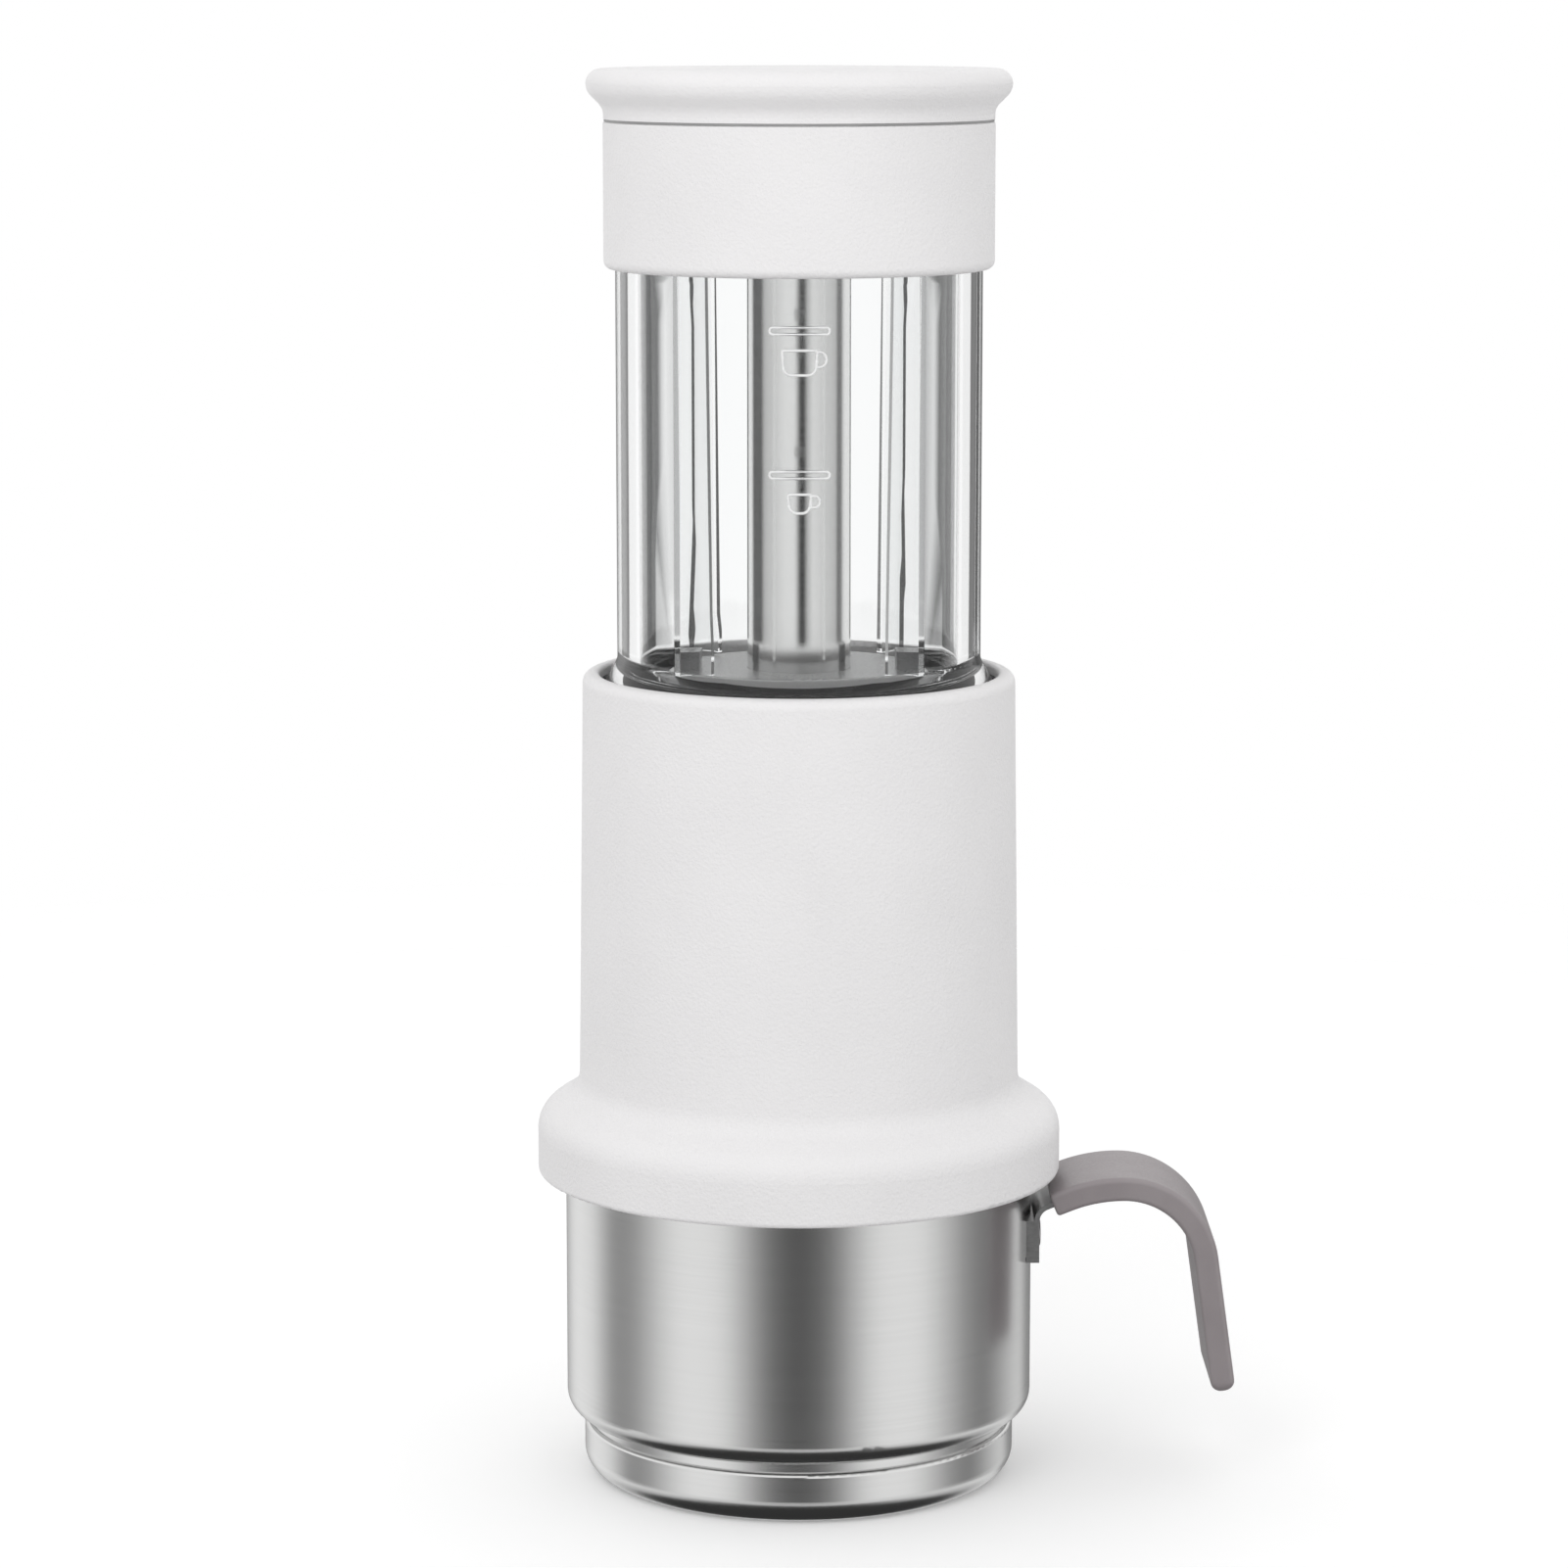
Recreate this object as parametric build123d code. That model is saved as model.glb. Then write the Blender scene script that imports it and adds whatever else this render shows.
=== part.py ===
from build123d import *
from math import cos, degrees, radians, sin, sqrt, tan
import os

# Portable capsule coffee maker: a steel cup, a white body that stands in it with the brewing
# head below, and a press unit (clear tank, collar and lid) that pumps by sliding in the body.
# Millimetres. The axis of the machine is Z, the cup stands on z = 0, the handle is towards +X.

# Fits and clearances
running_gap = 0.05
slide_gap = 0.35
seat_gap = 0.05
air_gap = 0.5
deck_gap = 0.3
stop_gap = 0.5
cut_margin = 1.0

# Edges: broken, fine and soft outer edges, and the inside corners of mouldings
edge_break = 0.3
edge_fine = 0.4
edge_soft = 0.5
inside_round = 1.0

# Capsule: the standard one, 37 mm across its rim, which the radii of the machine start from
capsule_rim_radius = 18.8
capsule_rim_depth = 1.0
capsule_height = 28.0
capsule_lip = 3.7
capsule_taper = 3.8

# Capsule chamber, screwed under the deck
chamber_wall = 1.7
chamber_flange_width = 6.0
chamber_flange_thick = 3.5
chamber_screw_inset = 3.2
chamber_screw_grip = 2.5

# Needle plate over the capsule
needle_plate_lap = 0.7
needle_plate_thick = 1.4
needle_gasket_thick = 0.6
needle_gasket_width = 2.5
needle_count = 3
needle_circle = 5.5
needle_radius = 0.9
needle_bore = 0.4
needle_length = 4.5
needle_point = 1.6
needle_tip_land = 0.1

# Outlet cap with pierced plate and spout
cap_wall = 4.15
cap_floor_thick = 2.5
cap_wall_height = 10.0
cap_round = 2.0
cap_rim_round = 0.6
cap_gasket_thick = 1.2
cap_gasket_width = 5.0
outlet_plate_thick = 2.3
stud_radius = 1.1
stud_tip_radius = 0.44
stud_height = 1.0
stud_root = 0.5
stud_rings = (6, 12)
stud_ring_step = 5.0
drip_radius = 0.6
drip_rings = (6, 12)
drip_first_circle = 2.5
drip_ring_step = 7.4
spout_bore = 2.6
spout_wall = 1.0
spout_shank_wall = 1.35
spout_flange_width = 3.0
spout_flange_thick = 1.4
spout_neck_step = 1.4
spout_length = 2.4
flute_count = 18
flute_radius = 1.6
flute_depth = 0.7
flute_foot = 3.0
flute_head = 1.5

# Cup: double wall of steel sheet with a pressed-in base pan
cup_step = 2.3
cup_sheet = 0.8
cup_wall_gap = 1.4
spout_clear = 11.2
liner_sheet = 0.6
liner_round = 4.0
liner_floor_gap = 0.6
shoulder_round = 3.4
neck_crease = 0.25
groove_height = 1.6
base_step = 2.84
base_height = 8.6
base_round = 4.0
base_rim_round = 0.7
base_floor_gap = 0.8

# Handle: steel strap with a silicone sleeve, riveted to a pad on the cup
strap_thick = 0.8
strap_width = 18.6
strap_gap = 0.2
strap_straight = 6.0
strap_bend = 2.5
strap_toe = 0.9
arm_clear = 0.85
arm_drop = 3.4
arm_rise = 22.0
arm_crest = 25.0
arm_turn = 13.5
leg_lean = 8.0
leg_length = 22.5
sleeve_thick = 3.9
sleeve_width = 20.6
sleeve_round = 1.5
sleeve_end_cover = 2.4
sleeve_tuck = 2.3
rivet_radius = 1.5
rivet_spacing = 9.0
rivet_head = 0.35
rivet_head_lap = 0.7

# Brewing deck, the bulkhead that carries pump and capsule chamber
deck_thick = 3.5
hub_rise = 8.0
hub_wall = 2.5
deck_screw_inset = 1.8
deck_screw_grip = 4.2
deck_screw_angle = 45.0
cup_seal_width = 1.9
cup_seal_height = 1.8

# Screws of deck and chamber
screw_count = 4
screw_radius = 0.9
screw_head_radius = 1.7
screw_head_height = 1.5
screw_slot_length = 2.04
screw_slot_width = 0.45

# Body shell: tapered tube with an ogee skirt over the cup, and the well inside it
hub_gap = 2.15
well_wall = 1.25
body_wall = 1.8
body_taper = 0.9
body_height = 72.3
rim_round = 1.7
lip_round = 0.7
lip_thick = 1.7
mouth_relief = 0.45
skirt_wall = 4.0
skirt_lap = 4.2
skirt_round = 0.8
ogee_rise = 0.3
ogee_slope = 32.0
ogee_convex = 5.0
ogee_concave = 4.0

# Pump: fixed hollow column with a piston, inside a steel barrel that moves with the tank
column_radius = 5.0
column_bore = 1.6
column_flange_width = 4.5
column_flange_height = 3.0
column_root = 0.8
stub_step = 0.9
spigot_step = 1.6
spigot_length = 4.5
piston_length = 7.0
piston_seal_width = 2.4
piston_seal_depth = 1.5
seal_lip_low = 0.84
seal_lip_draft = 0.4
seal_lip_tip = 0.45
seal_lip_root = 0.7
seal_lip_valley = 0.3
barrel_radius = 8.3
barrel_wall = 0.85
barrel_dome_round = 3.0
barrel_top_play = 4.0
inlet_radius = 1.0
inlet_height = 1.2
inlet_cover = 2.0

# Outlet valve in the foot of the column
valve_bore = 3.3
valve_height = 9.0
ball_play = 0.7
retainer_thick = 1.2
retainer_hole = 1.2
spring_inset = 0.65
spring_wire = 0.3
spring_turns = 4

# Tank with its floor and foot
tank_flare = 0.05
tank_wall = 3.6
tank_headroom = 7.0
tank_floor_sink = 1.0
tank_floor_thick = 3.0
tank_floor_round = 2.0
foot_step = 2.1
foot_sink = 1.6
foot_height = 9.0
foot_flare = 3.7
foot_neck_round = 2.0
foot_wall = 3.4
foot_fillet = 0.8
rib_reach = 6.4
rib_thick = 1.2
rib_draft = 1.0
rib_count = 4
rib_angle = 45.0
guide_rise = 2.0
guide_height = 3.0
guide_depth = 1.3

# Clamp of the barrel on the tank floor
floor_seal_thick = 0.8
floor_seal_inset = 1.0
flange_margin = 4.25
flange_thick = 2.6
flange_round = 0.6
lug_length = 4.4
lug_width = 6.0
lug_height = 2.8
lug_inset = 0.8
lug_round = 0.8
nut_wall = 4.05
nut_lip = 0.9
nut_lip_gap = 0.1
gland_bush_length = 2.8
gland_seal_length = 3.0

# Collar, lid and their seals
collar_wall = 1.8
collar_ledge = 1.5
collar_lap = 11.7
collar_round = 1.4
collar_seal_thick = 1.2
collar_seal_inset = 0.2
lid_seal_thick = 0.4
lid_seal_inset = 0.1
lid_inset = 0.07
lid_overhang = 2.77
lid_height = 7.9
lid_neck_height = 1.7
lid_concave = 2.2
lid_convex = 2.9
lid_round = 2.4
lid_top_thick = 2.3
lid_rim_width = 1.9
plug_disc_thick = 2.0
plug_depth = 9.3
plug_wall = 3.4
plug_clear = 1.4

# Coarse thread shared by lid and outlet cap: pins in helical slots
thread_lead = 28.0
thread_turn = 90.0
pin_count = 3
pin_radius = 1.0
pin_reach = 1.5
slot_depth = 1.8
slot_play = 0.3
lid_pin_drop = 3.4
cap_pin_rise = 4.0

# Radii that follow, from the capsule outwards
capsule_low_radius = capsule_rim_radius - capsule_lip
capsule_top_radius = capsule_low_radius - capsule_taper
needle_plate_radius = capsule_top_radius + needle_plate_lap
chamber_radius = capsule_rim_radius + chamber_wall
chamber_flange_radius = chamber_radius + chamber_flange_width
chamber_screw_circle = chamber_radius + chamber_screw_inset
cap_bore = chamber_radius + slide_gap
cap_radius = cap_bore + cap_wall
outlet_plate_radius = cap_bore - slide_gap
cap_gasket_inner = outlet_plate_radius - cap_gasket_width
spout_hole = spout_bore + spout_shank_wall + seat_gap
spout_tip_radius = spout_bore + spout_wall
spout_flange_radius = spout_hole + spout_flange_width
hub_radius = chamber_flange_radius + air_gap + hub_wall
well_radius = hub_radius + hub_gap
mouth_radius = well_radius + mouth_relief
shell_bore = well_radius + well_wall + 2 * seat_gap
body_top_radius = shell_bore + body_wall
body_foot_radius = body_top_radius + body_taper
deck_screw_circle = shell_bore + deck_screw_inset
cup_radius = body_foot_radius + cup_step
base_radius = cup_radius - base_step
liner_outer = cup_radius - cup_sheet - cup_wall_gap
liner_inner = liner_outer - liner_sheet
skirt_bore = cup_radius + air_gap
skirt_radius = skirt_bore + skirt_wall
foot_radius = well_radius - slide_gap
tank_radius_low = foot_radius - foot_step
tank_radius_top = tank_radius_low + tank_flare
tank_bore_low = tank_radius_low - tank_wall
tank_bore_top = tank_radius_top - tank_wall
flange_radius = tank_bore_low - flange_margin
collar_low_bore = tank_radius_top + seat_gap
collar_radius = collar_low_bore + collar_wall
collar_bore = tank_radius_top - collar_ledge
lid_neck_radius = collar_radius - lid_inset
lid_radius = lid_neck_radius + lid_overhang
plug_radius = collar_bore - slide_gap
stub_radius = column_radius + stub_step
spigot_radius = column_radius - spigot_step
column_flange_radius = column_radius + column_flange_width
barrel_bore = barrel_radius - barrel_wall
nut_radius = barrel_radius + nut_wall
ball_radius = valve_bore - ball_play
spring_radius = ball_radius - spring_inset

# Heights that follow, from the table upwards
shoulder_height = base_height + groove_height
liner_floor = shoulder_height + cup_sheet + liner_floor_gap + liner_sheet
spout_low = liner_floor + spout_clear
spout_flange_low = spout_low + spout_length
cap_low = spout_flange_low + spout_flange_thick
cap_floor_top = cap_low + cap_floor_thick
outlet_plate_top = cap_floor_top + outlet_plate_thick
chamber_low = outlet_plate_top + cap_gasket_thick
cap_top = chamber_low + cap_wall_height
needle_plate_low = chamber_low + capsule_rim_depth + capsule_height
needle_plate_top = needle_plate_low + needle_plate_thick
hub_low = needle_plate_top + needle_gasket_thick
hub_top = hub_low + deck_thick
chamber_flange_low = hub_low - chamber_flange_thick
deck_low = hub_low - hub_rise
deck_top = deck_low + deck_thick
cup_height = deck_low - cup_seal_height
skirt_bottom = cup_height - skirt_lap
ogee_low = deck_top + ogee_rise
ogee_high = ogee_low + (skirt_radius - body_foot_radius) * tan(radians(ogee_slope))
body_top = deck_top + body_height
lip_low = body_top - lip_thick
column_flange_top = hub_top + column_flange_height
valve_top = hub_low + valve_height
foot_top = body_top - foot_sink
foot_bottom = foot_top - foot_height
guide_low = foot_bottom + guide_rise
guide_high = guide_low + guide_height
press_stroke = foot_bottom - stop_gap - column_flange_top
tank_floor = foot_top - tank_floor_sink
tank_floor_low = tank_floor - tank_floor_thick
flange_low = tank_floor + floor_seal_thick
flange_top = flange_low + flange_thick
inlet_z = flange_top + inlet_height
piston_low = inlet_z + inlet_radius + inlet_cover
piston_top = piston_low + piston_length
piston_seal_low = piston_low + (piston_length - piston_seal_width) / 2
piston_seal_high = piston_seal_low + piston_seal_width
barrel_low = foot_bottom + nut_lip + nut_lip_gap
barrel_top = piston_top + press_stroke + barrel_top_play + barrel_dome_round
gland_seal_low = barrel_low + gland_bush_length
tank_top = barrel_top + tank_headroom
collar_low = tank_top - collar_lap
collar_seal_top = tank_top + collar_seal_thick
plug_low = collar_seal_top + plug_clear
lid_low = plug_low + plug_depth
collar_high = lid_low - lid_seal_thick
lid_top = lid_low + lid_height
lid_pin_z = collar_high - lid_pin_drop
cap_pin_z = chamber_low + cap_pin_rise
thread_ratio = thread_lead / 360

# The valve ball just under its cone seat, which slopes at 45 degrees, and the foot of its spring
ball_z = valve_top + valve_bore - (ball_radius + running_gap) * sqrt(2)
spring_low = hub_low + retainer_thick

# The handle: its arm starts just outside and below the skirt, and its strap hangs from there to the pad
pad_face = cup_radius + strap_gap
strap_middle = pad_face + strap_thick / 2
strap_turn = 90 - arm_rise
arm_start = (skirt_radius + arm_clear, skirt_bottom - arm_drop)
bend_reach = strap_bend * (1 - cos(radians(strap_turn)))
arm_lead = (arm_start[0] - strap_middle - bend_reach) / cos(radians(arm_rise))
bend_height = strap_bend * sin(radians(strap_turn))
strap_high = arm_start[1] - arm_lead * sin(radians(arm_rise)) - bend_height
strap_low = strap_high - strap_straight
tuck_back = (sleeve_tuck * cos(radians(arm_rise)), sleeve_tuck * sin(radians(arm_rise)))
sleeve_start = (arm_start[0] - tuck_back[0], arm_start[1] - tuck_back[1])


def outline(*corners):
    """Closed face in a plane. A corner is (x, y), or (x, y, radius) where it is rounded."""
    places = [Vector(corner[0], corner[1]) for corner in corners]
    joints = []
    for index, corner in enumerate(corners):
        here = places[index]
        back = (places[index - 1] - here).normalized()
        ahead = (places[(index + 1) % len(places)] - here).normalized()
        radius = corner[2] if len(corner) > 2 else 0
        if radius:
            half = radians(back.get_angle(ahead)) / 2
            middle = here + (back + ahead).normalized() * (radius / sin(half) - radius)
            reach = radius / tan(half)
            joints.append((here + back * reach, middle, here + ahead * reach))
        else:
            joints.append((here, None, here))
    edges = []
    for index, (start, middle, end) in enumerate(joints):
        if (start - joints[index - 1][2]).length > 1e-6:
            edges.append(Line(joints[index - 1][2], start))
        if middle is not None:
            edges.append(ThreePointArc(start, middle, end))
    return make_face(edges)


def turned(*corners):
    """Solid of revolution about Z from an outline of (radius, height) corners."""
    return revolve(Plane.XZ * outline(*corners), Axis.Z)


def ring(outer, inner, low, high):
    """Plain ring, or a disc where inner is 0."""
    return turned((inner, low), (outer, low), (outer, high), (inner, high))


def around(count, radius=0, first=0):
    """Places on a circle about Z, each turned to face outwards."""
    return [Rot(0, 0, first + 360 * index / count) * Pos(radius, 0, 0) for index in range(count)]


def group(shapes):
    """Separate like solids kept in one node."""
    return Compound(children=[shape.solid() for shape in shapes])


def screw(head_low, grip):
    """Screw pointing up, head below: a turned head with a cross slot and a plain shank."""
    head_high = head_low + screw_head_height
    body = turned(
        (0, head_low),
        (screw_head_radius, head_low, edge_break),
        (screw_head_radius, head_high),
        (screw_radius, head_high),
        (screw_radius, head_high + grip, edge_break),
        (0, head_high + grip),
    )
    slot = Pos(0, 0, head_low) * Box(screw_slot_length, screw_slot_width, screw_head_height)
    return body - slot - Rot(0, 0, 90) * slot


def screw_hole(head_low, grip):
    """Room for a screw with its sunk head."""
    head_high = head_low + screw_head_height
    return ring(screw_head_radius + seat_gap, 0, head_low, head_high) + ring(
        screw_radius, 0, head_high, head_high + grip
    )


def thread_slots(radius, pin_z, direction, turn):
    """Helical slots as deep as slot_depth either side of a radius, from the pins at rest.

    direction is the way along the helix in which the pins leave: 1 rises, -1 falls."""
    lap = degrees((pin_radius + slot_play) / radius)
    start = -lap if direction > 0 else -turn
    path = Helix(thread_lead, (turn + lap) * thread_ratio, radius)
    width = 2 * (pin_radius + slot_play)
    section = Plane(path @ 0, x_dir=(1, 0, 0), z_dir=path % 0) * Rectangle(2 * slot_depth, width)
    slot = sweep(section, path=path, is_frenet=True)
    placed = Rot(0, 0, start) * Pos(0, 0, pin_z + start * thread_ratio) * slot
    return [place * placed for place in around(pin_count)]


def thread_pins(from_radius, to_radius, pin_z):
    """Radial pins between two radii."""
    length = abs(to_radius - from_radius)
    pin = Pos(min(from_radius, to_radius), 0, pin_z) * Rot(0, 90, 0) * Cylinder(
        pin_radius, length, align=(Align.CENTER, Align.CENTER, Align.MIN)
    )
    return [place * pin for place in around(pin_count)]


def ribbon(start, heading, runs, half):
    """Face of even thickness along straight runs (length,) and arcs (radius, turn), turn to the
    right positive. Angles in degrees."""
    left = []
    right = []
    here = Vector(*start)
    angle = radians(heading)
    for run in runs:
        normal = Vector(-sin(angle), cos(angle))
        if len(run) == 1:
            there = here + Vector(cos(angle), sin(angle)) * run[0]
            left.append(Line(here + normal * half, there + normal * half))
            right.append(Line(here - normal * half, there - normal * half))
        else:
            radius, turn = run
            side = 1 if turn > 0 else -1
            centre = here - normal * radius * side
            points = []
            for share in (0, 0.5, 1):
                at = angle - radians(turn) * share
                points.append(Vector(-sin(at), cos(at)) * side)
            left.append(ThreePointArc(*[centre + point * (radius + half * side) for point in points]))
            right.append(ThreePointArc(*[centre + point * (radius - half * side) for point in points]))
            there = centre + points[2] * radius
            angle -= radians(turn)
        here = there
    caps = [Line(left[0] @ 0, right[0] @ 0), Line(left[-1] @ 1, right[-1] @ 1)]
    return make_face(left + right + caps)


def upright(face, width):
    """Solid of a face in the X-Z plane, as thick as width and centred on y = 0."""
    return extrude(Plane.XZ * face, amount=width / 2, both=True)


# Cup: outer shell drawn from sheet, with a shoulder and a narrower neck below it
def make_cup_shell():
    neck = base_radius - cup_sheet - seat_gap
    rim_low = cup_height - liner_sheet
    floor_low = cup_sheet + base_floor_gap
    inner = cup_radius - cup_sheet
    neck_round = base_round - cup_sheet
    return turned(
        (0, floor_low),
        (neck, floor_low, neck_round),
        (neck, shoulder_height, neck_crease),
        (cup_radius, shoulder_height, shoulder_round),
        (cup_radius, rim_low),
        (inner, rim_low),
        (inner, shoulder_height + cup_sheet, shoulder_round - cup_sheet),
        (neck - cup_sheet, shoulder_height + cup_sheet, neck_crease + cup_sheet),
        (neck - cup_sheet, floor_low + cup_sheet, neck_round - cup_sheet),
        (0, floor_low + cup_sheet),
    )


# Inner cup, with a rim that laps over the outer shell
def make_cup_liner():
    return turned(
        (0, liner_floor - liner_sheet),
        (liner_outer, liner_floor - liner_sheet, liner_round),
        (liner_outer, cup_height - liner_sheet),
        (cup_radius, cup_height - liner_sheet),
        (cup_radius, cup_height, edge_break),
        (liner_inner, cup_height, edge_break),
        (liner_inner, liner_floor, liner_round - liner_sheet),
        (0, liner_floor),
    )


# Base pan, pressed over the neck of the outer shell
def make_cup_base():
    inner = base_radius - cup_sheet
    return turned(
        (0, 0),
        (base_radius, 0, base_round),
        (base_radius, base_height, base_rim_round),
        (inner, base_height),
        (inner, cup_sheet, base_round - cup_sheet),
        (0, cup_sheet),
    )


# Handle: pad, strap, rivets and sleeve share one path in the X-Z plane
def arm_runs(leg):
    """The path of the handle from the start of its arm to the end of its leg."""
    return [(arm_crest, arm_rise), (arm_turn, 90 - leg_lean), (leg,)]


def make_handle_pad():
    block = Pos(pad_face, 0, strap_low) * Box(
        pad_face, strap_width, strap_straight, align=(Align.MAX, Align.CENTER, Align.MIN)
    )
    return block - ring(cup_radius, 0, strap_low, strap_high)


def make_handle_strap():
    runs = [(strap_straight,), (strap_bend, strap_turn), (arm_lead,)]
    runs += arm_runs(leg_length - sleeve_end_cover)
    strap = upright(ribbon((strap_middle, strap_low), 90, runs, strap_thick / 2), strap_width)
    toe = Pos(strap_middle + strap_thick / 2, 0, strap_low) * Box(
        strap_middle, strap_width, strap_toe, align=(Align.MAX, Align.CENTER, Align.MAX)
    )
    strap += toe - ring(cup_radius + seat_gap, 0, strap_low - strap_toe, strap_low)
    return strap - rivet_places(Cylinder(rivet_radius, strap_thick + 2 * cut_margin))


def rivet_places(shape):
    """A shape along X at both rivets."""
    middle = strap_low + strap_straight / 2
    return [
        Pos(strap_middle, side * rivet_spacing / 2, middle) * Rot(0, 90, 0) * shape for side in (-1, 1)
    ]


def make_handle_rivets():
    shank = Cylinder(rivet_radius, strap_thick)
    head = Pos(0, 0, strap_thick / 2) * Cylinder(
        rivet_radius + rivet_head_lap, rivet_head, align=(Align.CENTER, Align.CENTER, Align.MIN)
    )
    head = fillet(head.edges().sort_by(Axis.Z)[-1], edge_break)
    return group(rivet_places(shank + head))


def make_handle_sleeve():
    runs = [(sleeve_tuck,)]
    face = ribbon(sleeve_start, arm_rise, runs + arm_runs(leg_length), sleeve_thick / 2)
    sleeve = upright(face, sleeve_width)
    sides = sleeve.faces().filter_by(Axis.Y)
    sleeve = fillet(sides.edges(), sleeve_round)
    inner_runs = runs + arm_runs(leg_length - sleeve_end_cover)
    hollow = ribbon(sleeve_start, arm_rise, inner_runs, strap_thick / 2)
    return sleeve - upright(hollow, strap_width)


# Body shell: one white moulding from the rim to the skirt
def make_body_shell():
    shell = turned(
        (skirt_bore, skirt_bottom),
        (skirt_radius, skirt_bottom, skirt_round),
        (skirt_radius, ogee_low, ogee_convex),
        (body_foot_radius, ogee_high, ogee_concave),
        (body_top_radius, body_top, rim_round),
        (mouth_radius, body_top, lip_round),
        (mouth_radius, lip_low),
        (shell_bore, lip_low),
        (shell_bore, deck_top),
        (skirt_bore, deck_top),
    )
    holes = [place * screw_hole(deck_low, deck_screw_grip) for place in deck_screw_places()]
    return shell - holes


def deck_screw_places():
    return around(screw_count, deck_screw_circle, deck_screw_angle)


# Black tube that lines the well in which the press unit slides
def make_well_liner():
    return ring(well_radius + well_wall, well_radius, deck_top, lip_low - seat_gap)


# Deck: bulkhead clamped under the shelf of the body shell, with a raised hub for the pump
def make_brew_deck():
    deck = turned(
        (stub_radius + seat_gap, hub_low),
        (hub_radius - hub_wall, hub_low),
        (hub_radius - hub_wall, deck_low),
        (skirt_bore - deck_gap, deck_low),
        (skirt_bore - deck_gap, deck_top),
        (hub_radius, deck_top),
        (hub_radius, hub_top, inside_round),
        (stub_radius + seat_gap, hub_top),
    )
    deck -= [place * screw_hole(deck_low, deck_screw_grip) for place in deck_screw_places()]
    hole = ring(screw_radius, 0, hub_low, hub_low + chamber_screw_grip)
    return deck - [place * hole for place in chamber_screw_places()]


def make_deck_screws():
    return group([place * screw(deck_low, deck_screw_grip - seat_gap) for place in deck_screw_places()])


# Soft ring under the deck that the rim of the cup bears on
def make_cup_seal():
    return ring(cup_radius, cup_radius - cup_seal_width, cup_height, deck_low)


# Hollow column: foot with the valve chamber, flange on the deck, spigot for the piston
def make_pump_column():
    seat_rise = valve_bore - column_bore
    return turned(
        (valve_bore, hub_low),
        (stub_radius, hub_low),
        (stub_radius, hub_top),
        (column_flange_radius, hub_top),
        (column_flange_radius, column_flange_top, edge_soft),
        (column_radius, column_flange_top, column_root),
        (column_radius, piston_low),
        (spigot_radius, piston_low),
        (spigot_radius, piston_low + spigot_length, edge_fine),
        (column_bore, piston_low + spigot_length),
        (column_bore, valve_top + seat_rise),
        (valve_bore, valve_top),
    )


def make_valve_retainer():
    return ring(valve_bore, retainer_hole, hub_low, spring_low)


def make_valve_ball():
    return Pos(0, 0, ball_z) * Sphere(ball_radius)


# Spring from its retainer to the ball: an open helix of round wire
def make_valve_spring():
    under_ball = ball_z - sqrt(ball_radius**2 - spring_radius**2)
    height = under_ball - spring_low - 3 * spring_wire
    path = Pos(0, 0, spring_low + spring_wire) * Helix(height / spring_turns, height, spring_radius)
    section = Plane(path @ 0, x_dir=(1, 0, 0), z_dir=path % 0) * Circle(spring_wire)
    return sweep(section, path=path, is_frenet=True)


def make_piston():
    outer = barrel_bore - running_gap
    core = outer - piston_seal_depth
    return turned(
        (spigot_radius + seat_gap, piston_low),
        (outer, piston_low, edge_soft),
        (outer, piston_seal_low),
        (core, piston_seal_low),
        (core, piston_seal_high),
        (outer, piston_seal_high),
        (outer, piston_top, edge_soft),
        (column_bore, piston_top),
        (column_bore, piston_low + spigot_length + seat_gap),
        (spigot_radius + seat_gap, piston_low + spigot_length + seat_gap),
    )


# One-way seal: it lets water past upwards and closes when the barrel comes down
def make_piston_seal():
    outer = barrel_bore - running_gap / 2
    core = barrel_bore - running_gap - piston_seal_depth
    lip = piston_seal_low + seal_lip_low
    valley = lip + seal_lip_valley
    return turned(
        (core, piston_seal_low),
        (outer - seal_lip_draft, piston_seal_low),
        (outer, lip),
        (outer, piston_seal_high),
        (outer - seal_lip_tip, piston_seal_high),
        (outer - seal_lip_root, valley),
        (core, valley),
    )


# Capsule chamber: tapered cup, open below, screwed under the deck
def make_capsule_chamber():
    chamber = turned(
        (capsule_rim_radius, chamber_low),
        (chamber_radius, chamber_low),
        (chamber_radius, chamber_flange_low, inside_round),
        (chamber_flange_radius, chamber_flange_low),
        (chamber_flange_radius, hub_low),
        (needle_plate_radius + seat_gap, hub_low),
        (needle_plate_radius + seat_gap, needle_plate_low),
        (capsule_top_radius, needle_plate_low),
        (capsule_low_radius, chamber_low + capsule_rim_depth),
        (capsule_rim_radius, chamber_low + capsule_rim_depth),
    )
    chamber += thread_pins(chamber_radius - pin_reach, chamber_radius + pin_reach, cap_pin_z)
    hole = ring(screw_radius, 0, chamber_flange_low, hub_low)
    return chamber - [place * hole for place in chamber_screw_places()]


def chamber_screw_places():
    return around(screw_count, chamber_screw_circle)


def make_chamber_screws():
    head_low = chamber_flange_low - screw_head_height
    grip = chamber_flange_thick + chamber_screw_grip - seat_gap
    return group([place * screw(head_low, grip) for place in chamber_screw_places()])


# Steel plate with hollow needles that open the capsule
def make_needle_plate():
    middle = (needle_plate_low + needle_plate_top) / 2
    plate = ring(needle_plate_radius, 0, needle_plate_low, needle_plate_top)
    tip = needle_plate_low - needle_length
    needle = turned(
        (0, tip),
        (needle_bore + needle_tip_land, tip),
        (needle_radius, tip + needle_point),
        (needle_radius, middle),
        (0, middle),
    )
    bore = ring(needle_bore, 0, tip - cut_margin, needle_plate_top + cut_margin)
    places = around(needle_count, needle_circle, 90)
    plate += [place * needle for place in places]
    return plate - [place * bore for place in places]


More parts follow.
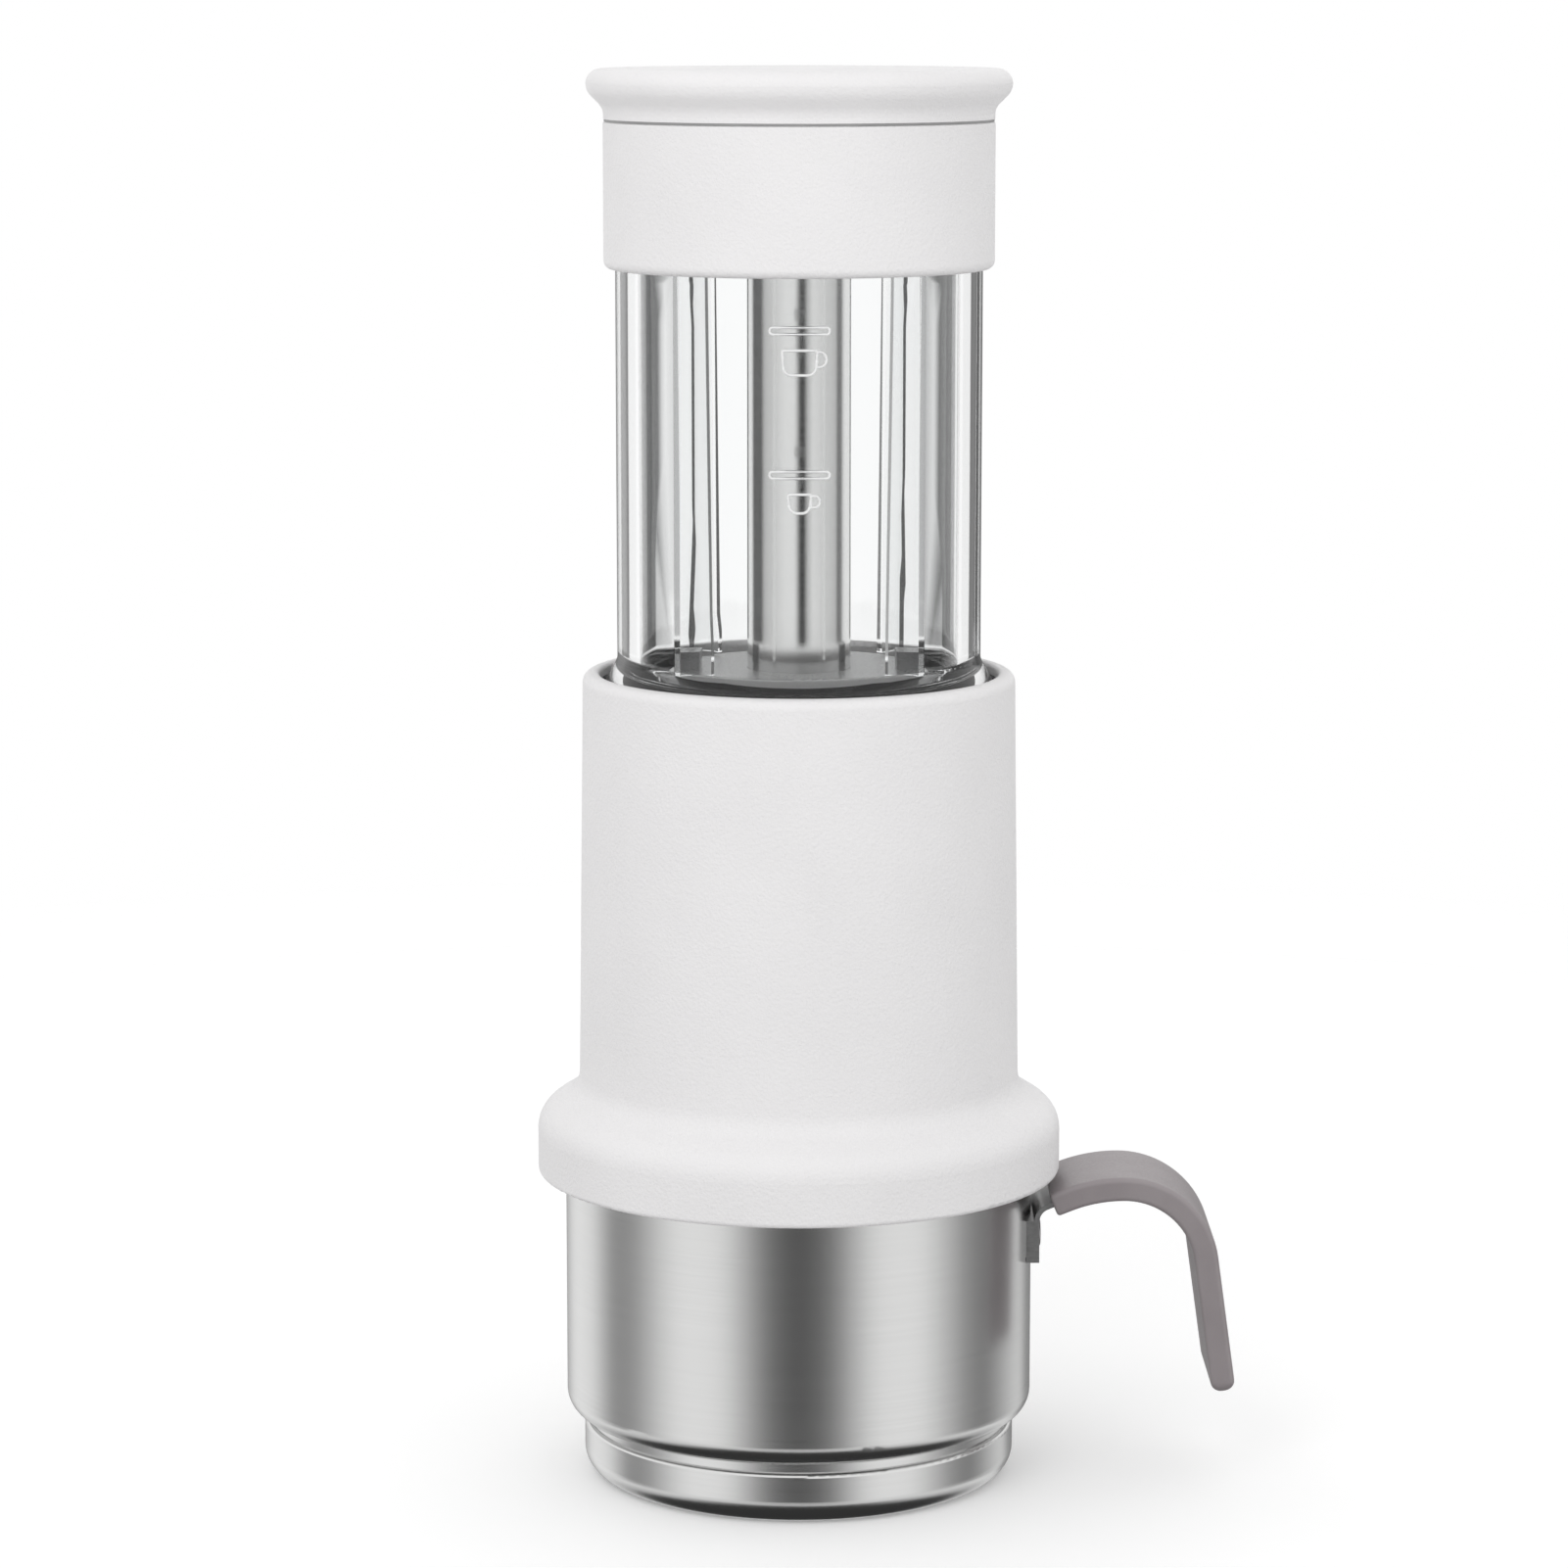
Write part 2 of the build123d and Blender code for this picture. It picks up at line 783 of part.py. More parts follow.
def make_needle_gasket():
    inner = needle_plate_radius - needle_gasket_width
    return ring(needle_plate_radius, inner, needle_plate_top, hub_low)


# Outlet cap: turned cup with helical slots inside and a fluted grip outside
def make_outlet_cap():
    cap = turned(
        (spout_hole, cap_low),
        (cap_radius, cap_low, cap_round),
        (cap_radius, cap_top, cap_rim_round),
        (cap_bore, cap_top),
        (cap_bore, cap_floor_top),
        (spout_hole, cap_floor_top),
    )
    cap -= thread_slots(cap_bore, cap_pin_z, 1, thread_turn)
    groove = ring(flute_radius, 0, cap_low + flute_foot, cap_top - flute_head)
    flute = Pos(flute_radius - flute_depth, 0, 0) * groove
    return cap - [place * flute for place in around(flute_count, cap_radius)]


# Pierced plate that the foil of the capsule is pressed against
def make_outlet_plate():
    plate = ring(outlet_plate_radius, 0, cap_floor_top, outlet_plate_top)
    root = outlet_plate_top - stud_root
    stud = turned(
        (0, root),
        (stud_radius, root),
        (stud_radius, outlet_plate_top),
        (stud_tip_radius, outlet_plate_top + stud_height),
        (0, outlet_plate_top + stud_height),
    )
    hole = ring(drip_radius, 0, cap_floor_top, outlet_plate_top)
    for step, count in enumerate(stud_rings, start=1):
        plate += [place * stud for place in around(count, step * stud_ring_step)]
    for step, count in enumerate(drip_rings):
        circle = drip_first_circle + step * drip_ring_step
        plate -= [place * hole for place in around(count, circle, 180 / count)]
    return plate


def make_cap_gasket():
    return ring(outlet_plate_radius, cap_gasket_inner, outlet_plate_top, chamber_low)


def make_spout():
    shank = spout_hole - seat_gap
    return turned(
        (spout_bore, spout_low),
        (spout_tip_radius, spout_low, edge_fine),
        (spout_flange_radius - spout_neck_step, spout_flange_low),
        (spout_flange_radius, spout_flange_low, edge_break),
        (spout_flange_radius, cap_low),
        (shank, cap_low),
        (shank, cap_floor_top - seat_gap),
        (spout_bore, cap_floor_top - seat_gap),
    )


# Tank: clear moulding with a flared foot that guides it in the well, a floor and four ribs
def make_tank():
    groove = foot_radius - guide_depth
    bore = barrel_radius + seat_gap
    skirt_inner = foot_radius - foot_wall
    tank = turned(
        (bore, tank_floor_low),
        (skirt_inner, tank_floor_low, foot_fillet),
        (skirt_inner, foot_bottom),
        (foot_radius, foot_bottom, edge_soft),
        (foot_radius, guide_low),
        (groove, guide_low),
        (groove, guide_high),
        (foot_radius, guide_high),
        (foot_radius, foot_top, edge_soft),
        (tank_radius_low, foot_top + foot_flare, foot_neck_round),
        (tank_radius_top, tank_top, edge_fine),
        (tank_bore_top, tank_top, edge_fine),
        (tank_bore_low, tank_floor, tank_floor_round),
        (bore, tank_floor),
    )
    rib_low = flange_top + air_gap
    rib_root = tank_bore_low + tank_wall / 2
    rib_tip = tank_bore_low - rib_reach
    rib = upright(
        outline(
            (rib_root, rib_low),
            (rib_root, collar_low),
            (rib_tip + rib_draft, collar_low),
            (rib_tip, rib_low),
        ),
        rib_thick,
    )
    return tank + [place * rib for place in around(rib_count, 0, rib_angle)]


def make_guide_ring():
    outer = well_radius - running_gap
    inner = foot_radius - guide_depth
    return turned(
        (inner, guide_low),
        (outer, guide_low, edge_fine),
        (outer, guide_high, edge_fine),
        (inner, guide_high),
    )


# Barrel: drawn steel tube closed at the top, with two inlet holes just above the floor
def make_barrel():
    barrel = turned(
        (barrel_bore, barrel_low),
        (barrel_radius, barrel_low),
        (barrel_radius, barrel_top, barrel_dome_round),
        (0, barrel_top),
        (0, barrel_top - barrel_wall),
        (barrel_bore, barrel_top - barrel_wall, barrel_dome_round - barrel_wall),
    )
    hole = Pos(0, 0, inlet_z) * Rot(0, 90, 0) * Cylinder(inlet_radius, 2 * (barrel_radius + cut_margin))
    return barrel - hole


# Grey disc that holds the barrel on the tank floor, with two lugs to turn it by
def make_barrel_flange():
    disc = turned(
        (barrel_radius + seat_gap, flange_low),
        (flange_radius, flange_low),
        (flange_radius, flange_top, flange_round),
        (barrel_radius + seat_gap, flange_top),
    )
    lug = Pos(flange_radius - lug_inset, 0, flange_top) * Box(
        lug_length, lug_width, lug_height, align=(Align.MAX, Align.CENTER, Align.MIN)
    )
    lug = fillet(lug.edges().filter_by(Axis.Z), lug_round)
    return disc + [place * lug for place in around(2)]


def make_floor_seal():
    return ring(flange_radius - floor_seal_inset, barrel_radius + seat_gap, tank_floor, flange_low)


# Nut under the floor: hexagon with a lip that keeps the gland in the barrel
def make_barrel_nut():
    height = tank_floor_low - foot_bottom
    hexagon = Pos(0, 0, foot_bottom) * extrude(RegularPolygon(nut_radius, 6), height)
    bore = ring(barrel_radius + seat_gap, 0, foot_bottom + nut_lip, tank_floor_low)
    return hexagon - bore - ring(column_radius + slide_gap, 0, foot_bottom, tank_floor_low)


def make_gland_bush():
    return ring(barrel_bore, column_radius + running_gap, barrel_low, gland_seal_low)


def make_gland_seal():
    high = gland_seal_low + gland_seal_length
    return ring(barrel_bore, column_radius + running_gap / 2, gland_seal_low, high)


# Collar: white sleeve round the top of the tank, with the pins for the lid
def make_collar():
    collar = turned(
        (collar_low_bore, collar_low),
        (collar_radius, collar_low, collar_round),
        (collar_radius, collar_high, edge_fine),
        (collar_bore, collar_high, edge_break),
        (collar_bore, collar_seal_top),
        (collar_low_bore, collar_seal_top),
    )
    return collar + thread_pins(collar_bore + pin_reach, collar_bore - pin_reach, lid_pin_z)


def make_collar_seal():
    outer = tank_radius_top - collar_seal_inset
    inner = tank_bore_top + collar_seal_inset
    return ring(outer, inner, tank_top, collar_seal_top)


# Dark gasket between collar and lid, seen as the seam
def make_lid_seal():
    return ring(lid_neck_radius - lid_seal_inset, collar_bore + lid_seal_inset, collar_high, lid_low)


# Lid: flanged white cap, hollow below
def make_lid():
    waist = lid_low + lid_neck_height
    slope_top = waist + lid_overhang
    cavity = lid_neck_radius - lid_rim_width
    return turned(
        (cavity, lid_low),
        (lid_neck_radius, lid_low),
        (lid_neck_radius, waist, lid_concave),
        (lid_radius, slope_top, lid_convex),
        (lid_radius, lid_top, lid_round),
        (0, lid_top),
        (0, lid_top - lid_top_thick),
        (cavity, lid_top - lid_top_thick, inside_round),
    )


# Plug inside the lid, with the helical slots that run on the collar's pins
def make_lid_plug():
    cavity = lid_neck_radius - lid_rim_width - seat_gap
    inner = plug_radius - plug_wall
    plug = turned(
        (inner, plug_low),
        (plug_radius, plug_low),
        (plug_radius, lid_low),
        (cavity, lid_low),
        (cavity, lid_low + plug_disc_thick),
        (0, lid_low + plug_disc_thick),
        (0, lid_low),
        (inner, lid_low, inside_round),
    )
    return plug - thread_slots(plug_radius, lid_pin_z, -1, thread_turn)


makers = {
    "cup_shell": make_cup_shell,
    "cup_liner": make_cup_liner,
    "cup_base": make_cup_base,
    "handle_pad": make_handle_pad,
    "handle_strap": make_handle_strap,
    "handle_rivets": make_handle_rivets,
    "handle_sleeve": make_handle_sleeve,
    "body_shell": make_body_shell,
    "well_liner": make_well_liner,
    "brew_deck": make_brew_deck,
    "deck_screws": make_deck_screws,
    "cup_seal": make_cup_seal,
    "pump_column": make_pump_column,
    "valve_retainer": make_valve_retainer,
    "valve_ball": make_valve_ball,
    "valve_spring": make_valve_spring,
    "piston": make_piston,
    "piston_seal": make_piston_seal,
    "capsule_chamber": make_capsule_chamber,
    "chamber_screws": make_chamber_screws,
    "needle_plate": make_needle_plate,
    "needle_gasket": make_needle_gasket,
    "outlet_cap": make_outlet_cap,
    "outlet_plate": make_outlet_plate,
    "cap_gasket": make_cap_gasket,
    "spout": make_spout,
    "tank": make_tank,
    "guide_ring": make_guide_ring,
    "barrel": make_barrel,
    "barrel_flange": make_barrel_flange,
    "floor_seal": make_floor_seal,
    "barrel_nut": make_barrel_nut,
    "gland_bush": make_gland_bush,
    "gland_seal": make_gland_seal,
    "collar": make_collar,
    "collar_seal": make_collar_seal,
    "lid_seal": make_lid_seal,
    "lid": make_lid,
    "lid_plug": make_lid_plug,
}

os.makedirs("parts", exist_ok=True)
for name, maker in makers.items():
    export_step(maker(), f"parts/{name}.step")
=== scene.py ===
from math import pi, radians

import bpy
import numpy as np
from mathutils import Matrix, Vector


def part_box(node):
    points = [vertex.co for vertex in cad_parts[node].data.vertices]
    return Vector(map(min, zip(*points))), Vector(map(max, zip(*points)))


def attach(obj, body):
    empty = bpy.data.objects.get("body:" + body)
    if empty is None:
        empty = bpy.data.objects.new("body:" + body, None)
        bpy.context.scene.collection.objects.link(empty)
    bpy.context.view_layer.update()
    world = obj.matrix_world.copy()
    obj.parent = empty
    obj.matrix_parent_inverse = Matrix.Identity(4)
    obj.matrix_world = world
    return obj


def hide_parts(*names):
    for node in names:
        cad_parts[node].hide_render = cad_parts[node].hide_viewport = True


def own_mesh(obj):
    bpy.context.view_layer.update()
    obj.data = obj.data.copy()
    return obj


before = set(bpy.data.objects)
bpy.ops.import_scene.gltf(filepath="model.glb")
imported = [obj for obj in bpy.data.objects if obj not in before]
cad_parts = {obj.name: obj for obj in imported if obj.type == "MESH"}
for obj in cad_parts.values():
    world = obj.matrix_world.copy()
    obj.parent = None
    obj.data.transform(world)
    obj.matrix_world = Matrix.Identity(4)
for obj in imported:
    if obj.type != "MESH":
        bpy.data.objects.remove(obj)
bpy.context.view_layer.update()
bpy.context.scene.view_settings.view_transform = "Standard"


# Cup: outer shell and inner liner drawn from stainless sheet, with a base pan pressed over the
# neck. It is brushed on a lathe inside and out, so fine scratches run round it.

def finish_of(name, **sockets):
    """New node material and its shader, with the values that are the same all over set on it."""
    made = bpy.data.materials.new(name)
    made.use_nodes = True
    shader = made.node_tree.nodes["Principled BSDF"]
    for socket, value in sockets.items():
        shader.inputs[socket.replace("_", " ")].default_value = value
    return made, shader


def opaque(colour, share=1.0):
    """Colour at a share of its brightness, with nothing showing through."""
    return tuple(share * value for value in colour) + (1.0,)


def add(tree, kind, sockets=None, **settings):
    """New node of a tree. Sockets take a value, or the output of another node."""
    made = tree.nodes.new(kind)
    for setting, value in settings.items():
        setattr(made, setting, value)
    for socket, value in (sockets or {}).items():
        if isinstance(value, bpy.types.NodeSocket):
            tree.links.new(value, made.inputs[socket])
        else:
            made.inputs[socket].default_value = value
    return made


def grain(tree, cycles, detail=2.0, roughness=0.5):
    """Noise on Object coordinates, in cycles per metre along X, Y and Z."""
    place = add(tree, "ShaderNodeTexCoord").outputs["Object"]
    scaled = add(tree, "ShaderNodeMapping", {"Vector": place, "Scale": cycles})
    noise = add(
        tree,
        "ShaderNodeTexNoise",
        {"Vector": scaled.outputs["Vector"], "Scale": 1.0, "Detail": detail, "Roughness": roughness},
    )
    return noise.outputs["Fac"]


def spread(tree, value, low, high, from_low=0.3, from_high=0.7):
    """Value carried in a straight line from one range to another and held at its ends. Plain noise
    lies mostly between 0.3 and 0.7."""
    node = add(
        tree,
        "ShaderNodeMapRange",
        {"Value": value, "From Min": from_low, "From Max": from_high, "To Min": low, "To Max": high},
    )
    return node.outputs["Result"]


def mixed(tree, share, first, second):
    """Colour between two colours, by a share from 0 to 1. The mix node has sockets for each kind of
    value, and those for colours are the sixth, the seventh and the second output, counted from 0."""
    sockets = {0: share, 6: first, 7: second}
    return add(tree, "ShaderNodeMix", sockets, data_type="RGBA").outputs[2]


def reckon(tree, operation, *values):
    """Result of one step of arithmetic."""
    return add(tree, "ShaderNodeMath", dict(enumerate(values)), operation=operation).outputs["Value"]


def bumped(tree, shader, height, depth, strength=1.0):
    """Relief of a height from 0 to 1, as deep as depth in metres."""
    node = add(tree, "ShaderNodeBump", {"Height": height, "Distance": depth, "Strength": strength})
    tree.links.new(node.outputs["Normal"], shader.inputs["Normal"])


def dress(material, *names):
    """Gives CAD nodes a finish in place of their plain one."""
    for name in names:
        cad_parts[name].data.materials[0] = material


def brushed_steel(name, tint, rough, turning):
    """Steel brushed round Z: noise squeezed along Z gives lines that follow the turning. Broader
    bands and a few soft stains are a little darker than the rest."""
    line_cycles = (45.0, 45.0, 9000.0)
    line_depth = 0.0000008
    band_cycles = (20.0, 20.0, 2200.0)
    band_shade = 0.98
    stain_cycles = (45.0, 45.0, 60.0)
    stain_shade = 0.97
    stain_most = 0.4
    stain_noise = (0.5, 0.8)
    made, shader = finish_of(name, Metallic=1.0, Anisotropic=turning)
    tree = made.node_tree
    lines = grain(tree, line_cycles, detail=3.0, roughness=0.6)
    bands = spread(tree, grain(tree, band_cycles), 0.0, 1.0)
    stains = spread(tree, grain(tree, stain_cycles, detail=4.0), 0.0, stain_most, *stain_noise)
    tree.links.new(spread(tree, lines, *rough), shader.inputs["Roughness"])
    banded = mixed(tree, bands, opaque(tint, band_shade), opaque(tint))
    stained = mixed(tree, stains, banded, opaque(tint, stain_shade))
    tree.links.new(stained, shader.inputs["Base Color"])
    tangent = add(tree, "ShaderNodeTangent", direction_type="RADIAL", axis="Z")
    tree.links.new(tangent.outputs["Tangent"], shader.inputs["Tangent"])
    bumped(tree, shader, lines, line_depth)
    return made


cup_steel = brushed_steel("cup_steel_brushed", tint=(0.74, 0.74, 0.735), rough=(0.22, 0.26), turning=0.4)
dress(cup_steel, "cup_shell", "cup_base", "cup_liner")


# Handle strap: a strip of spring steel bent in a press, with a pad and two rivets behind it.
# The strip keeps the long scratches of the rolling mill.

def rolled_steel(name, tint, rough):
    """Strip steel: even fine grain, a little longer along X and darker in its hollows."""
    scratch_cycles = (900.0, 2600.0, 2600.0)
    scratch_depth = 0.0000008
    hollow_shade = 0.86
    made, shader = finish_of(name, Metallic=1.0)
    tree = made.node_tree
    scratches = grain(tree, scratch_cycles, detail=3.0, roughness=0.6)
    tree.links.new(spread(tree, scratches, *rough), shader.inputs["Roughness"])
    colour = mixed(tree, spread(tree, scratches, 0.0, 1.0), opaque(tint, hollow_shade), opaque(tint))
    tree.links.new(colour, shader.inputs["Base Color"])
    bumped(tree, shader, scratches, scratch_depth)
    return made


strap_steel = rolled_steel("strap_steel", tint=(0.46, 0.46, 0.46), rough=(0.32, 0.44))
dress(strap_steel, "handle_strap", "handle_pad", "handle_rivets")


# Handle sleeve: taupe silicone moulded as a flat sock, with rounded edges and a round closed end.
# It is pushed over the strap and holds by its own grip.

mm = 0.001


def rounded(*corners, steps=8, guard=0.25):
    """Closed outline through corners (x, y, radius). A rounded corner is a circular arc tangent to
    both sides, at even angles; each straight run gets a point close to either end, so that the
    shading of flat and round stays apart."""
    flat = np.array([corner[:2] for corner in corners], float)
    back = np.roll(flat, 1, axis=0) - flat
    ahead = np.roll(flat, -1, axis=0) - flat
    back /= np.linalg.norm(back, axis=1)[:, None]
    ahead /= np.linalg.norm(ahead, axis=1)[:, None]
    pieces = []
    for here, to_back, to_ahead, (_, _, radius) in zip(flat, back, ahead, corners):
        half = np.arccos(np.clip(to_back @ to_ahead, -1, 1)) / 2
        reach = radius / np.tan(half)
        middle = to_back + to_ahead
        centre = here + middle / np.linalg.norm(middle) * radius / np.sin(half)
        first = here + to_back * reach - centre
        last = here + to_ahead * reach - centre
        turn = np.arctan2(first[0] * last[1] - first[1] * last[0], first @ last)
        angles = np.linspace(0, turn, steps + 1)[:, None]
        across = np.array([-first[1], first[0]])
        arc = centre + np.cos(angles) * first + np.sin(angles) * across
        pieces.append(np.vstack([here + to_back * (reach + guard), arc, here + to_ahead * (reach + guard)]))
    return np.vstack(pieces)


def along(start, heading, runs, step):
    """Path in the X-Z plane: straight runs (length,) and arcs (radius, turn to the right in
    degrees), as points one step apart and the normals on the left of the path."""
    points = [np.array([start], float)]
    angles = [np.array([radians(heading)])]
    for run in runs:
        here = points[-1][-1]
        angle = angles[-1][-1]
        if len(run) == 1:
            share = np.linspace(0, run[0], max(2, int(run[0] / step)) + 1)[1:, None]
            points.append(here + share * np.array([np.cos(angle), np.sin(angle)]))
            angles.append(np.full(len(share), angle))
        else:
            radius, turn = run
            steps = max(2, int(radius * radians(turn) / step))
            swung = angle - np.linspace(0, radians(turn), steps + 1)[1:]
            centre = here - radius * np.array([-np.sin(angle), np.cos(angle)])
            points.append(centre + radius * np.stack([-np.sin(swung), np.cos(swung)], axis=1))
            angles.append(swung)
    angle = np.concatenate(angles)
    return np.vstack(points), np.stack([-np.sin(angle), np.cos(angle)], axis=1)


def skin(name, rings, material, body, around=True, crease=50):
    """Closed surface through rings of equally many points, shaped (rings, points, 3), in
    millimetres. Both ends are closed by a fan to the middle of the ring, unless the rings
    join up into a loop. Edges that turn by more than the crease, in degrees, stay sharp."""
    count, size = rings.shape[:2]
    ids = np.arange(count * size).reshape(count, size)
    if around:
        pairs = np.stack([ids, np.roll(ids, -1, axis=0)])
        points = rings.reshape(-1, 3)
        fans = []
    else:
        pairs = np.stack([ids[:-1], ids[1:]])
        points = np.vstack([rings.reshape(-1, 3), rings[0].mean(axis=0), rings[-1].mean(axis=0)])
        first, last = count * size, count * size + 1
        start, end = ids[0], ids[-1]
        fans = np.vstack(
            [
                np.stack([np.roll(start, -1), start, np.full(size, first)], axis=1),
                np.stack([end, np.roll(end, -1), np.full(size, last)], axis=1),
            ]
        ).tolist()
    low, high = pairs
    quads = np.stack([low, np.roll(low, -1, axis=1), np.roll(high, -1, axis=1), high], axis=-1)
    mesh = bpy.data.meshes.new(name)
    mesh.from_pydata((points * mm).tolist(), [], quads.reshape(-1, 4).tolist() + fans)
    mesh.validate()
    mesh.shade_smooth()
    mesh.set_sharp_from_angle(angle=radians(crease))
    piece = bpy.data.objects.new(name, mesh)
    bpy.context.scene.collection.objects.link(piece)
    mesh.materials.append(material)
    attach(piece, body)
    return piece


def swept(path, normals, sections):
    """Rings of a section carried along a path in the X-Z plane: the section's first measure is
    along the path's normal, its second along Y. There is one section, or one for each point."""
    rings = np.zeros((len(path), sections.shape[-2], 3))
    rings[..., 0] = path[:, None, 0] + normals[:, None, 0] * sections[..., 0]
    rings[..., 2] = path[:, None, 1] + normals[:, None, 1] * sections[..., 0]
    rings[..., 1] = sections[..., 1]
    return rings


def band(thick, wide, edge):
    """Flat section with rounded edges, thick across and wide along Y."""
    x, y = thick / 2, wide / 2
    return rounded((-x, -y, edge), (-x, y, edge), (x, y, edge), (x, -y, edge), steps=6, guard=0.1)


def end_rings(path, normals, section, radius, at_start, steps=7):
    """Rings that round off an end: each is drawn in by radius (1 - cos a) as it nears the end,
    and lies radius sin a from where the rounding begins."""
    swing = np.linspace(0, pi / 2, steps)
    inset = radius * (1 - np.cos(swing))[:, None]
    shift = radius * (1 - np.sin(swing))
    index = 0 if at_start else -1
    tangent = np.array([normals[index, 1], -normals[index, 0]])
    tangent = tangent if at_start else -tangent
    centres = path[index] + tangent * shift[:, None]
    size = np.abs(section).max(axis=0)
    shrunk = section[None] * ((size[None] - inset) / size[None])[:, None, :]
    return swept(centres, np.repeat(normals[index][None], steps, axis=0), shrunk)


def silicone(name, shade, light):
    """Moulded silicone: matte, cloudy, with fine pits."""
    cloud_cycles = (140.0, 140.0, 140.0)
    pit_cycles = (2600.0, 2600.0, 2600.0)
    pit_rough = (0.36, 0.5)
    pit_depth = 0.00002
    made, shader = finish_of(name, Specular_IOR_Level=0.8)
    tree = made.node_tree
    clouds = spread(tree, grain(tree, cloud_cycles, detail=3.0), 0.0, 1.0)
    pits = grain(tree, pit_cycles)
    tree.links.new(mixed(tree, clouds, opaque(shade), opaque(light)), shader.inputs["Base Color"])
    tree.links.new(spread(tree, pits, *pit_rough), shader.inputs["Roughness"])
    bumped(tree, shader, pits, pit_depth, strength=0.6)
    return made


sleeve_thick = 3.9
sleeve_wide = 20.6
sleeve_side_round = 0.8
sleeve_end_round = 1.9
sleeve_mouth_round = 0.5
sleeve_start = (41.218, 45.938)
sleeve_rise = 22.0
sleeve_runs = [(2.3,), (25.0, 22.0), (13.5, 82.0)]
sleeve_leg = 22.5
sleeve_step = 0.8
strap_room = (0.84, 18.66)
strap_room_round = 0.3
strap_end_cover = 2.4
strap_leg = sleeve_leg - strap_end_cover
taupe = silicone("taupe_silicone_moulded", shade=(0.255, 0.226, 0.234), light=(0.285, 0.255, 0.263))

outer_path, outer_normals = along(sleeve_start, sleeve_rise, sleeve_runs + [(sleeve_leg,)], sleeve_step)
inner_path, inner_normals = along(sleeve_start, sleeve_rise, sleeve_runs + [(strap_leg,)], sleeve_step)
sleeve_section = band(sleeve_thick, sleeve_wide, sleeve_side_round)
tip = end_rings(outer_path, outer_normals, sleeve_section, sleeve_end_round, at_start=False)
mouth = end_rings(outer_path, outer_normals, sleeve_section, sleeve_mouth_round, at_start=True)
inside_tip = np.linalg.norm(outer_path - outer_path[-1], axis=1) > sleeve_end_round
inside_mouth = np.linalg.norm(outer_path - outer_path[0], axis=1) > sleeve_mouth_round
between = inside_tip & inside_mouth
wall = swept(outer_path[between], outer_normals[between], sleeve_section)
lining = swept(inner_path, inner_normals, band(*strap_room, strap_room_round))
sleeve_rings = np.concatenate([tip[::-1], wall[::-1], mouth, lining])
sleeve = skin("handle_sleeve_silicone", sleeve_rings, taupe, "cup", around=False)
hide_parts("handle_sleeve")


# Brewing head: deck, capsule chamber, outlet cap and spout are moulded in black polypropylene and
# screwed or threaded together under the body, and so is the liner of the body's well. The head shows
# when the machine is lifted off the cup.

def moulded(name, shade, light, rough, cell, depth, **gloss):
    """Spark-eroded plastic: rounded cells of a size in metres, as deep as depth, under a finer
    noise, with a faint cloudiness in the colour."""
    cell_smoothness = 0.6
    fine_to_cell = 2.4
    cloud_cycles = (60.0, 60.0, 60.0)
    made, shader = finish_of(name, **gloss)
    tree = made.node_tree
    cells = add(
        tree,
        "ShaderNodeTexVoronoi",
        {
            "Vector": add(tree, "ShaderNodeTexCoord").outputs["Object"],
            "Scale": 1.0 / cell,
            "Smoothness": cell_smoothness,
        },
        feature="SMOOTH_F1",
    )
    fine = grain(tree, (fine_to_cell / cell,) * 3)
    clouds = spread(tree, grain(tree, cloud_cycles, detail=3.0), 0.0, 1.0)
    tree.links.new(mixed(tree, clouds, opaque(shade), opaque(light)), shader.inputs["Base Color"])
    tree.links.new(spread(tree, fine, *rough), shader.inputs["Roughness"])
    bumped(tree, shader, reckon(tree, "ADD", cells.outputs["Distance"], fine), depth)
    return made


black_plastic = moulded(
    "black_plastic_moulded",
    shade=(0.018, 0.018, 0.019),
    light=(0.028, 0.028, 0.03),
    rough=(0.38, 0.52),
    cell=0.0007,
    depth=0.00002,
)
dress(black_plastic, "brew_deck", "capsule_chamber", "outlet_cap", "spout", "well_liner")
dress(strap_steel, "deck_screws", "chamber_screws", "needle_plate", "outlet_plate", "valve_ball")


# Valve spring: a small spring of stainless wire, wound cold. It holds the ball on its seat, and gets
# shorter when the water's pressure opens the valve.

def coiled(radius, bottom, tall, turns, wire, steps=24, sides=10):
    """Rings of a round wire on a helix: the wire's middle is at the radius and climbs evenly with the
    angle, and each ring stands square to it."""
    angle = np.linspace(0, 2 * pi * turns, steps * turns + 1)[:, None]
    level = 0 * angle
    climb = tall / (2 * pi * turns)
    out = np.hstack([np.cos(angle), np.sin(angle), level])
    ahead = np.hstack([-radius * np.sin(angle), radius * np.cos(angle), level + climb])
    across = np.cross(ahead / np.hypot(radius, climb), out)
    middle = radius * out + np.hstack([level, level, bottom + climb * angle])
    swing = np.linspace(0, 2 * pi, sides, endpoint=False)[:, None]
    return middle[:, None] + wire / 2 * (np.cos(swing) * out[:, None] + np.sin(swing) * across[:, None])


spring_wire = 0.6
spring_turns = 4
spring_low, spring_high = np.array(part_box("valve_spring")) / mm
spring_foot = spring_low[2]
spring_tall = spring_high[2] - spring_foot
spring_rings = coiled(
    radius=spring_high[0] - spring_wire / 2,
    bottom=spring_foot + spring_wire / 2,
    tall=spring_tall - spring_wire,
    turns=spring_turns,
    wire=spring_wire,
)
spring = skin("valve_spring_coil", spring_rings, strap_steel, "machine", around=False)
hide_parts("valve_spring")
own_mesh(spring)


# Soft seals: silicone rubber rings, black but for the lid's mid grey one, moulded with rounded edges and
# pressed into their seats.
# The lip of the piston's ring folds down when water passes it; the others only seal.

black_rubber = silicone("black_rubber_matte", shade=(0.014, 0.014, 0.014), light=(0.022, 0.022, 0.023))
seam_rubber = silicone("grey_rubber_seam", shade=(0.26, 0.26, 0.26), light=(0.32, 0.32, 0.32))


